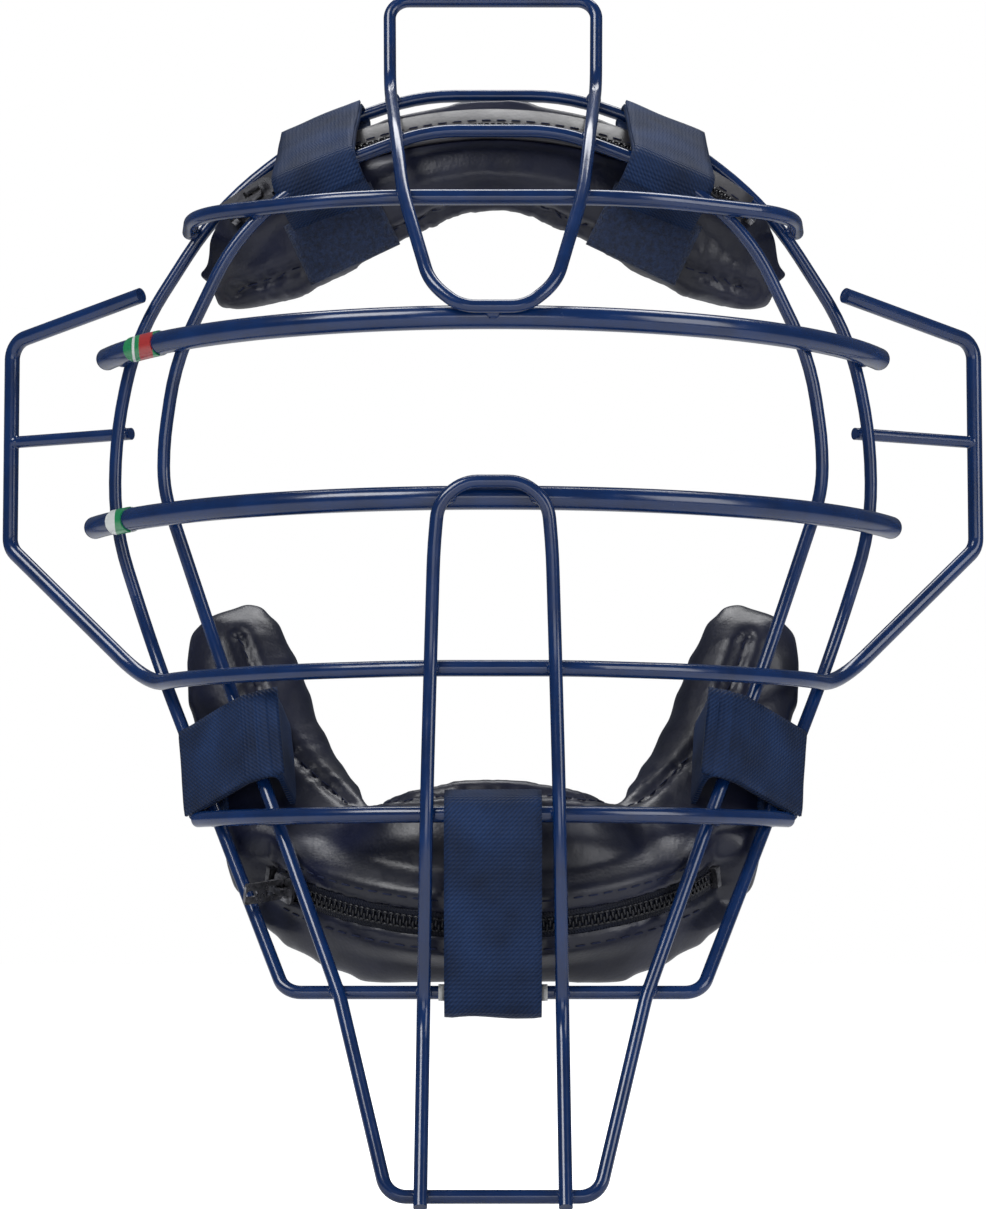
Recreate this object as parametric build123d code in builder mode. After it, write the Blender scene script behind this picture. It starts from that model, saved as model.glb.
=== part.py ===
from build123d import *

import os
from math import asin, cos, degrees, radians, sin, tan

os.makedirs("parts", exist_ok=True)

# Catcher's mask: a welded wire cage with two strapped-in pads.
# Origin at the middle of the face opening, on the plane of the rear loop's upper part.
# +X is the wearer's left, +Z is up and the mask faces -Y.  Millimetres.

# ---- wire and tube sizes ----
THIN_R = 1.75
MID_R = 2.15
ROD_R = 1.7
TUBE_R = 3.15
TUBE_WALL = 0.9
PLUG_CAP = 1.8
PLUG_SPIGOT = 2.0
LOOP_BEND = 6.0
WELD_R = 2.1
SHARE = 0.48

# ---- heights of the level bars ----
FOREHEAD_Z = 105.3
BROW_Z = 69.2
ROD_Z = 48.0
EYE_Z = 21.7
CHEEK_Z = -22.5
MOUTH_Z = -60.5
CHIN_Z = -106.0
THROAT_Z = -156.0

# ---- plan arcs of the level bars: radius, centre's y, half span in x ----
BROW_ARC = (117.5, 48.5, 107.9)
EYE_ARC = (121.4, 51.4, 110.8)
MOUTH_ARC = (91.9, 15.9, 79.0)
CHEEK_ARC = (102.0, 34.2)
CHEEK_TURN = 65.5

# ---- bands and sleeve ----
BAND_THICK = 0.35
BROW_BAND = (50.5, 57.2)
EYE_BAND = (54.6, 58.6)
SLEEVE_R = 2.15
SLEEVE_HALF = 14.0

# ---- soft parts ----
COVER = 1.3
FOAM_GAP = 0.15
GROOVE_GAP = 0.15
GROOVE_DEPTH = 14.0
WEB_WIDTH = 25.0
CHEEK_WEB_WIDTH = 20.5
WEB_THICK = 2.0
PATCH_THICK = 1.6

# ---- straps: place, a point near it on the rear loop, height of the run, depth of the end ----
STRAP_GAP = 0.9
FOLD_R = 2.2
TAIL_INSET = 0.5
FRONT_SLACK = 1.6
TAIL_SHIFT = 2.5
SIDE_STRAPS = [
    ("forehead", (50, 0, 131), WEB_WIDTH, 5.2, 5.0),
    ("cheek", (78.8, -25.5, -48.1), CHEEK_WEB_WIDTH, 5.0, 1.0),
]
CHIN_STRAP_ROUTE = [
    (-60.0, -47.8),
    (-79.6, -53.2),
    (-79.6, -66.0),
    (-73.4, -103.0),
    (-72.4, -110.0),
    (-64.6, -110.0),
    (-64.6, -104.2),
]
PATCH_SIZE = (24.0, 13.0)
PATCH_PLANE = Plane(origin=(43, -24.2, 105.0), x_dir=(1, 0.25, -0.36), z_dir=(0.2, -1, 0))

# ---- zippers: the arc's middle, the way it bulges, its radius and the tape's facing ----
CHAIN_WIDTH = 4.4
CHAIN_THICK = 1.6
TAPE_THICK = 0.8
ZIPPERS = {
    "forehead": {
        "mid": (0, -20.0, 129.4),
        "bulge": (0, -0.31, 0.95),
        "face": (0, -0.82, 0.57),
        "radius": 114.0,
        "half_turn": 37.5,
        "park": -33.5,
        "lifted": 0.0,
        "tape": 10.0,
    },
    "chin": {
        "mid": (0, -71.4, -89.0),
        "bulge": (0, -0.92, -0.39),
        "face": (0, -0.96, -0.26),
        "radius": 65.5,
        "half_turn": 60.0,
        "park": -53.0,
        "lifted": 95.0,
        "tape": 12.0,
    },
}
RUN_GAP = 0.3
SLIDER_LENGTH = 8.5
SLIDER_WALL = 0.9
BAIL_SPAN = 5.0
BAIL_HEIGHT = 2.1
BAIL_TOP = 0.8
PULL_LENGTH = 12.5
PULL_WIDTH = 5.6
PULL_THICK = 0.9
PULL_EYE = 0.75
PULL_SLOT = (3.4, 2.6)


def corner_radius(before, corner, after):
    """The largest bend that two neighbouring runs leave room for."""
    first = Vector(*corner) - Vector(*before)
    second = Vector(*after) - Vector(*corner)
    half_turn = radians(first.get_angle(second)) / 2
    return SHARE * min(first.length, second.length) / tan(half_turn)


def bend_radii(points, limits):
    """One radius for each inner corner, the largest that fits unless limits names it."""
    radii = []
    for i in range(1, len(points) - 1):
        room = corner_radius(points[i - 1], points[i], points[i + 1])
        radii.append(min(room, limits.get(i, room)))
    return radii


def bent_path(points, limits=None):
    """A wire through rounded corners."""
    with BuildLine() as line:
        FilletPolyline(*points, radius=bend_radii(points, limits or {}))
    return line.wire()


def arc_path(arc, z):
    """The right half of a level bar that is one circular arc, from the middle outwards."""
    radius, centre_y, half_span = arc
    with BuildLine(Plane.XY.offset(z)) as line:
        CenterArc((0, centre_y), radius, -90, degrees(asin(half_span / radius)))
    return line.wire()


def arc_corners(radius, centre_y, z, last_angle, count):
    """Corners of the polygon round a level arc that starts at the mask's middle."""
    step = radians(last_angle) / count
    reach = radius / cos(step / 2)
    turns = [step * (i + 0.5) for i in range(count)]
    return [(reach * sin(a), centre_y - reach * cos(a), z) for a in turns]


# ---- routes: the right half of each wire, starting square to the mask's middle ----
REAR_PATH = bent_path(
    [
        (0, 0, 143.5),
        (20.5, 0, 143.5),
        (49.0, 0, 133.7),
        (76.8, 0, 112.1),
        (99.6, 0, 75.6),
        (105.3, 0, 47.3),
        (105.3, 0, 21.3),
        (93.5, 0, -15.0),
        (53.5, -68.5, CHIN_Z),
        (0, -68.5, CHIN_Z),
    ],
    {8: LOOP_BEND},
)
FRONT_PATH = bent_path(
    [
        (0, -27, 127.7),
        (18.1, -27, 127.7),
        (49.9, -28.5, 115.3),
        (70.1, -29, 98.2),
        (86.3, -27.2, 64.2),
        (89.5, -26, 41.7),
        (89.5, -25, 29.0),
        (73.5, -28.0, -18.0),
        (39.0, -72.8, -107.5),
        (26.3, -95, THROAT_Z),
        (0, -95, THROAT_Z),
    ],
    {8: 30.0, 9: LOOP_BEND},
)
RING_PATH = bent_path(
    [
        (0, -74.0, 71.2),
        (8.5, -74.0, 71.2),
        (16.5, -70.8, 78.0),
        (20.3, -61.9, 92.0),
        (24.0, -51.6, 105.6),
        (26.2, -33.6, 124.2),
        (28.0, -9.9, 138.8),
    ]
)
CROWN_PATH = bent_path(
    [(28.0, -9.85, 138.83), (29.0, 1.6, 145.9), (29.4, 9.0, 173.0), (0, 9.0, 173.0)],
    {2: 5.5},
)
THROAT_PATH = bent_path(
    [
        (0, -74.6, 25.4),
        (7.5, -74.6, 25.4),
        (14.2, -74.6, 20.0),
        (15.3, -73.6, 8.0),
        (16.2, -71.0, CHEEK_Z),
        (17.0, -79.4, MOUTH_Z),
        (17.8, -71.8, -112.0),
        (18.0, -99.8, -158.3),
    ],
    {6: 20.0},
)
FOREHEAD_PATH = bent_path(
    [
        (0, -47, FOREHEAD_Z),
        (37.1, -47, FOREHEAD_Z),
        (82.5, -21.5, FOREHEAD_Z),
        (85.2, 3.0, FOREHEAD_Z),
    ]
)
WING_PATH = bent_path(
    [
        (0, -67.8, CHEEK_Z),
        *arc_corners(*CHEEK_ARC, CHEEK_Z, CHEEK_TURN, 3),
        (95.3, -2.6, CHEEK_Z),
        (137.0, 20.0, 17.8),
        (137.0, 20.0, 76.6),
        (98.0, -5.0, 86.0),
    ],
    {5: LOOP_BEND, 6: LOOP_BEND},
)
BROW_PATH = arc_path(BROW_ARC, BROW_Z)
EYE_PATH = arc_path(EYE_ARC, EYE_Z)
MOUTH_PATH = arc_path(MOUTH_ARC, MOUTH_Z)
ROD_PATH = Wire(Edge.make_line((101.0, 1.4, ROD_Z), (134.95, 19.2, ROD_Z)))


def half_bar(path, radius, bore=0.0):
    """One half of a bent wire, or of a tube when there is a bore."""
    with BuildPart() as half:
        with BuildSketch(Plane(origin=path @ 0, z_dir=path % 0)):
            Circle(radius)
            if bore:
                Circle(bore, mode=Mode.SUBTRACT)
        sweep(path=path)
    return half.part


# ---- the cage: bent loops of thin wire ----
with BuildPart() as rear_loop:
    add(half_bar(REAR_PATH, THIN_R))
    mirror(about=Plane.YZ)
rear_loop.part.label = "rear_loop"
export_step(rear_loop.part, "parts/rear_loop.step")

with BuildPart() as front_loop:
    add(half_bar(FRONT_PATH, THIN_R))
    mirror(about=Plane.YZ)
front_loop.part.label = "front_loop"
export_step(front_loop.part, "parts/front_loop.step")

with BuildPart() as centre_ring:
    add(half_bar(RING_PATH, THIN_R))
    mirror(about=Plane.YZ)
centre_ring.part.label = "centre_ring"
export_step(centre_ring.part, "parts/centre_ring.step")

with BuildPart() as crown_loop:
    add(half_bar(CROWN_PATH, THIN_R))
    mirror(about=Plane.YZ)
crown_loop.part.label = "crown_loop"
export_step(crown_loop.part, "parts/crown_loop.step")

with BuildPart() as throat_loop:
    add(half_bar(THROAT_PATH, THIN_R))
    mirror(about=Plane.YZ)
throat_loop.part.label = "throat_loop"
export_step(throat_loop.part, "parts/throat_loop.step")

# ---- the cage: cross bars ----
with BuildPart() as forehead_bar:
    add(half_bar(FOREHEAD_PATH, MID_R))
    mirror(about=Plane.YZ)
forehead_bar.part.label = "forehead_bar"
export_step(forehead_bar.part, "parts/forehead_bar.step")

with BuildPart() as cheek_wing_bar:
    add(half_bar(WING_PATH, MID_R))
    mirror(about=Plane.YZ)
cheek_wing_bar.part.label = "cheek_wing_bar"
export_step(cheek_wing_bar.part, "parts/cheek_wing_bar.step")

with BuildPart() as mouth_bar:
    add(half_bar(MOUTH_PATH, MID_R))
    mirror(about=Plane.YZ)
mouth_bar.part.label = "mouth_bar"
export_step(mouth_bar.part, "parts/mouth_bar.step")

with BuildPart() as brow_bar:
    add(half_bar(BROW_PATH, TUBE_R, TUBE_R - TUBE_WALL))
    mirror(about=Plane.YZ)
brow_bar.part.label = "brow_bar"
export_step(brow_bar.part, "parts/brow_bar.step")

with BuildPart() as eye_bar:
    add(half_bar(EYE_PATH, TUBE_R, TUBE_R - TUBE_WALL))
    mirror(about=Plane.YZ)
eye_bar.part.label = "eye_bar"
export_step(eye_bar.part, "parts/eye_bar.step")

with BuildPart() as wing_rod_left:
    add(half_bar(ROD_PATH, ROD_R))
wing_rod_left.part.label = "wing_rod_left"
export_step(wing_rod_left.part, "parts/wing_rod_left.step")

with BuildPart() as wing_rod_right:
    add(mirror(wing_rod_left.part, about=Plane.YZ, mode=Mode.PRIVATE))
wing_rod_right.part.label = "wing_rod_right"
export_step(wing_rod_right.part, "parts/wing_rod_right.step")

# ---- tube ends: a turned plug in each end of the two hollow bars ----
def end_plug(path):
    """A domed cap with a short spigot, at the far end of a hollow bar's half path."""
    mouth = Plane(origin=path @ 1, z_dir=path % 1)
    with BuildPart() as plug:
        with BuildSketch(mouth):
            Circle(TUBE_R)
        extrude(amount=PLUG_CAP)
        outer = plug.faces().filter_by(GeomType.PLANE).sort_by(Axis.Y)[-1]
        fillet(outer.edges(), 0.7 * PLUG_CAP)
        with BuildSketch(mouth):
            Circle(TUBE_R - TUBE_WALL - 0.1)
        extrude(amount=-PLUG_SPIGOT)
    return plug.part


with BuildPart() as bar_end_plugs:
    add(end_plug(BROW_PATH))
    add(end_plug(EYE_PATH))
    mirror(about=Plane.YZ)
bar_end_plugs.part.label = "bar_end_plugs"
export_step(bar_end_plugs.part, "parts/bar_end_plugs.step")


# ---- wrapped bands ----
def band(arc, z, span):
    """A wrap round a hollow bar's outside, on the wearer's right, between two angles."""
    radius, centre_y, half_span = arc
    with BuildLine(Plane.XY.offset(z)) as line:
        CenterArc((0, centre_y), radius, -90 - span[0], span[0] - span[1])
    path = line.wire()
    return half_bar(path, TUBE_R + BAND_THICK, TUBE_R)


with BuildPart() as brow_label_band:
    add(band(BROW_ARC, BROW_Z, BROW_BAND))
brow_label_band.part.label = "brow_label_band"
export_step(brow_label_band.part, "parts/brow_label_band.step")

with BuildPart() as eye_label_band:
    add(band(EYE_ARC, EYE_Z, EYE_BAND))
eye_label_band.part.label = "eye_label_band"
export_step(eye_label_band.part, "parts/eye_label_band.step")

# ---- a ribbed sleeve keeps the chin strap from sliding along the bottom bar ----
with BuildPart() as chin_bar_sleeve:
    with BuildSketch(Plane.YZ.offset(-SLEEVE_HALF)):
        with Locations((-68.5, CHIN_Z)):
            Circle(SLEEVE_R)
            Circle(THIN_R, mode=Mode.SUBTRACT)
    extrude(amount=2 * SLEEVE_HALF)
chin_bar_sleeve.part.label = "chin_bar_sleeve"
export_step(chin_bar_sleeve.part, "parts/chin_bar_sleeve.step")

# ---- weld beads: one on each crossing, halfway between the two wires' centre lines ----
WELDS = [
    (RING_PATH, BROW_PATH),
    (RING_PATH, FOREHEAD_PATH),
    (RING_PATH, FRONT_PATH),
    (CROWN_PATH, REAR_PATH),
    (FOREHEAD_PATH, FRONT_PATH),
    (FOREHEAD_PATH, REAR_PATH),
    (BROW_PATH, FRONT_PATH),
    (BROW_PATH, REAR_PATH),
    (EYE_PATH, FRONT_PATH),
    (EYE_PATH, REAR_PATH),
    (WING_PATH, FRONT_PATH),
    (WING_PATH, REAR_PATH),
    (MOUTH_PATH, FRONT_PATH),
    (MOUTH_PATH, REAR_PATH),
    (THROAT_PATH, EYE_PATH),
    (THROAT_PATH, WING_PATH),
    (THROAT_PATH, MOUTH_PATH),
    (THROAT_PATH, REAR_PATH),
    (THROAT_PATH, FRONT_PATH),
    (FRONT_PATH, REAR_PATH),
    (ROD_PATH, REAR_PATH),
    (ROD_PATH, WING_PATH),
]
with BuildPart() as weld_beads:
    for first, second in WELDS:
        _, here, there = first.distance_to_with_closest_points(second)
        with Locations((here + there) / 2):
            Sphere(WELD_R)
    mirror(about=Plane.YZ)
weld_beads.part.label = "weld_beads"
export_step(weld_beads.part, "parts/weld_beads.step")

# ---- zipper places ----
def zip_plane(zipper, turn, lift=0.0):
    """A place on a zipper: x along the chain, y across the tape, z out of the pad."""
    side = Vector(1, 0, 0)
    bulge = Vector(*zipper["bulge"]).normalized()
    axis = side.cross(bulge)
    face = Vector(*zipper["face"]).normalized()
    outward = side * sin(radians(turn)) + bulge * cos(radians(turn))
    along = side * cos(radians(turn)) - bulge * sin(radians(turn))
    normal = outward * face.dot(bulge) + axis * face.dot(axis)
    centre = Vector(*zipper["mid"]) - bulge * zipper["radius"]
    origin = centre + outward * zipper["radius"] + normal * lift
    return Plane(origin=origin, x_dir=along, z_dir=normal)


def zip_strip(zipper, half_turn, lift, width, thick):
    """A strip along the zipper's arc, standing on a height above the tape's back."""
    middle = lift + thick / 2
    start, top, end = (zip_plane(zipper, t, middle) for t in (-half_turn, 0, half_turn))
    with BuildPart() as strip:
        with BuildLine() as line:
            ThreePointArc(start.origin, top.origin, end.origin)
        with BuildSketch(Plane(origin=start.origin, x_dir=start.y_dir, z_dir=start.x_dir)):
            Rectangle(width, thick)
        sweep(path=line.wire())
    return strip.part


# ---- pads: stations along the right half, each an oval square to the pad's run ----
# Each station: centre's x, y, z, then the oval's width across the run and its depth.
FOREHEAD_PAD = [
    (0, -13.0, 116.5, 33, 20),
    (28, -12.5, 113.5, 32, 20),
    (54, -9.5, 104.0, 29, 20),
    (71, -4.5, 94.5, 24, 17),
    (77, -2.0, 90.0, 11, 9),
]
CHIN_PAD = [
    (0, -56.5, -77, 50, 28),
    (26, -50.5, -76, 50, 28),
    (50, -31.5, -66, 42, 26),
    (59.5, -15.0, -42, 33, 26),
    (67, -8, -20, 32, 26),
    (72, -6, -4, 25, 23),
    (73.5, -4, 1, 11, 11),
]


def pad_half(stations, inset):
    """A loft through the ovals; an inset one stops a station short of the rounded tip."""
    if inset:
        stations = stations[:-1]
    centres = [Vector(*station[:3]) for station in stations]
    with BuildPart() as half:
        for i, station in enumerate(stations):
            before = centres[max(i - 1, 0)]
            after = centres[min(i + 1, len(centres) - 1)]
            run = Vector(1, 0, 0) if i == 0 else after - before
            run = Vector(run.X, 0, run.Z)
            width, depth = station[3] / 2 - inset, station[4] / 2 - inset
            with BuildSketch(Plane(origin=centres[i], x_dir=(0, 1, 0), z_dir=run)):
                Ellipse(depth, width)
        loft()
    return half.part


def pad_body(stations, zipper, inset=0.0):
    """Both halves of a pad in one solid, with a flat groove where the zipper is sewn in."""
    reach = zipper["half_turn"] + 4
    width = zipper["tape"] + 1 + 2 * inset
    groove = zip_strip(zipper, reach, -GROOVE_GAP - inset, width, GROOVE_DEPTH)
    with BuildPart() as body:
        add(pad_half(stations, inset))
        mirror(about=Plane.YZ)
        add(groove, mode=Mode.SUBTRACT)
    return body.part


with BuildPart() as forehead_pad_cover:
    add(pad_body(FOREHEAD_PAD, ZIPPERS["forehead"]))
    add(pad_body(FOREHEAD_PAD, ZIPPERS["forehead"], COVER), mode=Mode.SUBTRACT)
forehead_pad_cover.part.label = "forehead_pad_cover"
export_step(forehead_pad_cover.part, "parts/forehead_pad_cover.step")

with BuildPart() as forehead_pad_foam:
    add(pad_body(FOREHEAD_PAD, ZIPPERS["forehead"], COVER + FOAM_GAP))
forehead_pad_foam.part.label = "forehead_pad_foam"
export_step(forehead_pad_foam.part, "parts/forehead_pad_foam.step")

with BuildPart() as chin_pad_cover:
    add(pad_body(CHIN_PAD, ZIPPERS["chin"]))
    add(pad_body(CHIN_PAD, ZIPPERS["chin"], COVER), mode=Mode.SUBTRACT)
chin_pad_cover.part.label = "chin_pad_cover"
export_step(chin_pad_cover.part, "parts/chin_pad_cover.step")

with BuildPart() as chin_pad_foam:
    add(pad_body(CHIN_PAD, ZIPPERS["chin"], COVER + FOAM_GAP))
chin_pad_foam.part.label = "chin_pad_foam"
export_step(chin_pad_foam.part, "parts/chin_pad_foam.step")


# ---- straps: webbing folded round the two loops and sewn to a pad ----
def strap_frame(near):
    """At a place on the rear loop: x runs from the front loop to it, z runs along it."""
    _, here, _ = REAR_PATH.distance_to_with_closest_points(Vertex(*near))
    _, there, _ = FRONT_PATH.distance_to_with_closest_points(Vertex(*here))
    run = REAR_PATH % REAR_PATH.param_at_point(here)
    return Plane(origin=here, x_dir=here - there, z_dir=run), (here - there).length


def webbing(frame, route, width=WEB_WIDTH, thick=WEB_THICK):
    """A flat web, as wide as the frame's z, folded along a route in the frame's plane."""
    with BuildPart() as web:
        with BuildLine(frame):
            FilletPolyline(*route, radius=FOLD_R)
        path = web.pending_edges_as_wire
        with BuildSketch(Plane(origin=path @ 0, x_dir=frame.z_dir, z_dir=path % 0)):
            Rectangle(width, thick)
        sweep(path=path)
    return web.part


def side_strap(near, width, lift, tuck):
    """Round both loops: lift is the height of the long run, tuck the front end's depth."""
    frame, reach = strap_frame(near)
    fold = THIN_R + STRAP_GAP + WEB_THICK / 2
    front_fold = reach + fold + FRONT_SLACK
    route = [
        (-front_fold, -tuck),
        (-front_fold, lift),
        (fold, lift),
        (fold, -fold),
        (-fold, -fold),
    ]
    return webbing(frame, route, width)


def side_tail(near, width, lift):
    """The strap's loose end, folded back and closed on the long run."""
    frame, reach = strap_frame(near)
    height = lift + WEB_THICK
    with BuildPart() as tail:
        with BuildSketch(frame.offset(TAIL_INSET - width / 2)):
            with Locations((-reach / 2 + TAIL_SHIFT, height)):
                SlotOverall(reach - TAIL_SHIFT, WEB_THICK)
        extrude(amount=width - 2 * TAIL_INSET)
    return tail.part


def mirrored(shape):
    """The same piece on the wearer's right."""
    return mirror(shape, about=Plane.YZ, mode=Mode.PRIVATE)


for place, near, width, lift, tuck in SIDE_STRAPS:
    strap = side_strap(near, width, lift, tuck)
    tail = side_tail(near, width, lift)
    pieces = {
        f"{place}_strap_left": strap,
        f"{place}_strap_right": mirrored(strap),
        f"{place}_strap_tail_left": tail,
        f"{place}_strap_tail_right": mirrored(tail),
    }
    for name, piece in pieces.items():
        with BuildPart() as web:
            add(piece)
        web.part.label = name
        export_step(web.part, f"parts/{name}.step")

with BuildPart() as chin_strap:
    add(webbing(Plane.YZ, CHIN_STRAP_ROUTE))
chin_strap.part.label = "chin_strap"
export_step(chin_strap.part, "parts/chin_strap.step")

# ---- loop patches sewn to the forehead pad, where the straps' ends close ----
with BuildPart() as forehead_patch_left:
    with BuildSketch(PATCH_PLANE):
        RectangleRounded(*PATCH_SIZE, 1.5)
    extrude(amount=PATCH_THICK)
forehead_patch_left.part.label = "forehead_patch_left"
export_step(forehead_patch_left.part, "parts/forehead_patch_left.step")

with BuildPart() as forehead_patch_right:
    add(mirrored(forehead_patch_left.part))
forehead_patch_right.part.label = "forehead_patch_right"
export_step(forehead_patch_right.part, "parts/forehead_patch_right.step")


def end_stop(zipper, turn):
    """A metal staple closed over the chain's end."""
    with BuildPart() as stop:
        with BuildSketch(zip_plane(zipper, turn, TAPE_THICK)):
            Rectangle(2.2, CHAIN_WIDTH + 1.2)
        extrude(amount=CHAIN_THICK + 0.5)
        fillet(stop.faces().sort_by(Axis(stop.part.center(), (0, -1, 0)))[-1].edges(), 0.3)
    return stop.part


def zip_slider(zipper, turn):
    """A bridge over the chain with side rails and a bail for the pull."""
    rail = CHAIN_WIDTH + 2 * (RUN_GAP + SLIDER_WALL)
    height = CHAIN_THICK + RUN_GAP + SLIDER_WALL
    base = zip_plane(zipper, turn, TAPE_THICK + RUN_GAP)
    roof = base.offset(height - RUN_GAP)
    with BuildPart() as slider:
        with BuildSketch(base):
            RectangleRounded(SLIDER_LENGTH, rail, 1.4)
        extrude(amount=height - RUN_GAP)
        with BuildSketch(base):
            Rectangle(2 * SLIDER_LENGTH, CHAIN_WIDTH + 2 * RUN_GAP)
        extrude(amount=CHAIN_THICK, mode=Mode.SUBTRACT)
        for post in (-BAIL_SPAN / 2, BAIL_SPAN / 2):
            with BuildSketch(roof):
                with Locations((post, 0)):
                    Rectangle(1.5, 1.8)
            extrude(amount=BAIL_HEIGHT)
        with BuildSketch(roof.offset(BAIL_HEIGHT)):
            Rectangle(BAIL_SPAN + 1.5, 1.8)
        extrude(amount=BAIL_TOP)
    return slider.part


def pull_hinge(zipper, turn):
    """The pull's hinge: its axis is y, midway between the slider's roof and the bail."""
    roof = TAPE_THICK + RUN_GAP + CHAIN_THICK + SLIDER_WALL
    return zip_plane(zipper, turn, roof + BAIL_HEIGHT / 2)


def zip_pull(zipper, turn):
    """A tab lying back along the chain, with an eye round the slider's bail."""
    hinge = pull_hinge(zipper, turn)
    lift = radians(zipper["lifted"])
    along = hinge.x_dir * cos(lift) - hinge.z_dir * sin(lift)
    outward = hinge.z_dir * cos(lift) + hinge.x_dir * sin(lift)
    flat = Plane(origin=hinge.origin, x_dir=along, z_dir=outward)
    with BuildPart() as pull:
        with BuildSketch(flat.offset(-PULL_THICK / 2)):
            with Locations((PULL_EYE - PULL_LENGTH / 2, 0)):
                RectangleRounded(PULL_LENGTH, PULL_WIDTH, 0.7)
            with Locations((-PULL_EYE - PULL_SLOT[0] / 2, 0)):
                Rectangle(*PULL_SLOT, mode=Mode.SUBTRACT)
            with Locations((PULL_WIDTH / 2 - PULL_LENGTH, 0)):
                SlotOverall(3.6, 1.8, mode=Mode.SUBTRACT)
        extrude(amount=PULL_THICK)
    return pull.part


for name, zipper in ZIPPERS.items():
    turn, park = zipper["half_turn"], zipper["park"]
    pieces = {
        f"{name}_zipper_tape": zip_strip(zipper, turn + 1.5, 0, zipper["tape"], TAPE_THICK),
        f"{name}_zipper_chain": zip_strip(zipper, turn, TAPE_THICK, CHAIN_WIDTH, CHAIN_THICK),
        f"{name}_zipper_slider": zip_slider(zipper, park),
        f"{name}_zipper_pull": zip_pull(zipper, park),
    }
    for piece_name, piece in pieces.items():
        with BuildPart() as zip_piece:
            add(piece)
        zip_piece.part.label = piece_name
        export_step(zip_piece.part, f"parts/{piece_name}.step")
    with BuildPart() as stops:
        for end in (-turn - 1.0, turn + 1.0):
            add(end_stop(zipper, end))
    stops.part.label = f"{name}_zipper_stops"
    export_step(stops.part, f"parts/{name}_zipper_stops.step")
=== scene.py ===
"""A catcher's mask: the welded wire cage from CAD, with sewn pads, webbing and zippers."""

import math

import bmesh
import bpy
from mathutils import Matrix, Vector, noise
from mathutils.bvhtree import BVHTree
from mathutils.kdtree import KDTree


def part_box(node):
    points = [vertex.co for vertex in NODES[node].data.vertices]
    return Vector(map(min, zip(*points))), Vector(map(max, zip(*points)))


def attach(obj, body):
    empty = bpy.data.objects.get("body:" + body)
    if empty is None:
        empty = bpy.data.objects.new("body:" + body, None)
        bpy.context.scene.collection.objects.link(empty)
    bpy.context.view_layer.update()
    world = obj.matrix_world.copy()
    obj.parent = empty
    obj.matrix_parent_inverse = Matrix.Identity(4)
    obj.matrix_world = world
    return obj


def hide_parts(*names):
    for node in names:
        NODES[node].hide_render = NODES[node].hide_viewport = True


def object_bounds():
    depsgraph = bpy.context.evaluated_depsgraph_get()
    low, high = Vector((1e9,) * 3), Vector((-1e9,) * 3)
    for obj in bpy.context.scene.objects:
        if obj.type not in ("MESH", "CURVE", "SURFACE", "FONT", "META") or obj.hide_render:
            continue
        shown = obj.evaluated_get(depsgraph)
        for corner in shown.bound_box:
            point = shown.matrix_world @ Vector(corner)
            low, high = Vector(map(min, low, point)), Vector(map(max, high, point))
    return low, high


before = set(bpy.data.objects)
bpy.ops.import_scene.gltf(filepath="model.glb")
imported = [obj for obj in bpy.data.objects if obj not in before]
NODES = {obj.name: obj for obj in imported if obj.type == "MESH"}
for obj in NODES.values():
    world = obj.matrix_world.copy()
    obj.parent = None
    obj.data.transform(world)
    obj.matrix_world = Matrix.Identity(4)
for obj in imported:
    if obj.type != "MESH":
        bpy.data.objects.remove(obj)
CAD_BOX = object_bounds()
MM = 0.001

# ---- sizes in millimetres, in the row's frame ----
THIN_R = 1.75
WEB_WIDTH = 25.0
WEB_THICK = 1.7
CHIN_WEB_THICK = 1.9
TAIL_THICK = 1.0
FOLD = 6.0
CHIN_FOLD = 5
WIRE_GAP = 0.3
SEWN_DEPTH = 1.5
ROUTE_STEP = 1.2
SEAM_STEP = 1.6
GATHER_PERIOD = 5.2
THREAD_STEP = 0.45

# Where each side strap crosses the two loops, and the way the loops run there.
SIDE_STRAPS = {
    "forehead": {
        "rear": (46.9, 0, 133.5),
        "front": (47.8, -28.5, 115.2),
        "along": (0.88, 0, -0.475),
        "width": 24.5,
        "front_end": [(-0.9, -12.0), (-0.5, -3.0), (2.0, 3.1)],
        "lift": 2.7,
    },
    "cheek": {
        "rear": (78.95, -24.9, -48.1),
        "front": (64.6, -39.5, -41.0),
        "along": (-0.331, -0.567, -0.754),
        "width": 25.0,
        "front_end": [(-9.5, -10.0), (-6.8, 0.6), (2.0, 3.3)],
        "lift": 3.2,
    },
}
CHIN_STRAP_ROUTE = [
    (-60.0, -56.0),
    (-70.0, -54.6),
    (-79.4, -57.6),
    (-79.7, -66.0),
    (-74.8, -96.0),
    (-72.4, -111.6),
    (-65.0, -111.8),
    (-64.6, -101.0),
]

# Each zipper lies on a circle: its middle, the way it bulges and its facing.
ZIPPERS = {
    "forehead": {
        "mid": (0, -20.0, 129.4),
        "bulge": (0, -0.31, 0.95),
        "face": (0, -0.82, 0.57),
        "radius": 114.0,
        "half_turn": 37.5,
        "tape_above": 8.2,
    },
    "chin": {
        "mid": (0, -71.4, -89.0),
        "bulge": (0, -0.92, -0.39),
        "face": (0, -0.96, -0.26),
        "radius": 65.5,
        "half_turn": 60.0,
        "tape_above": 3.4,
    },
}
TOOTH_PITCH = 0.85
TAPE_STEP = 1.5
TAPE_UNDERSIDE = -0.2

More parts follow.
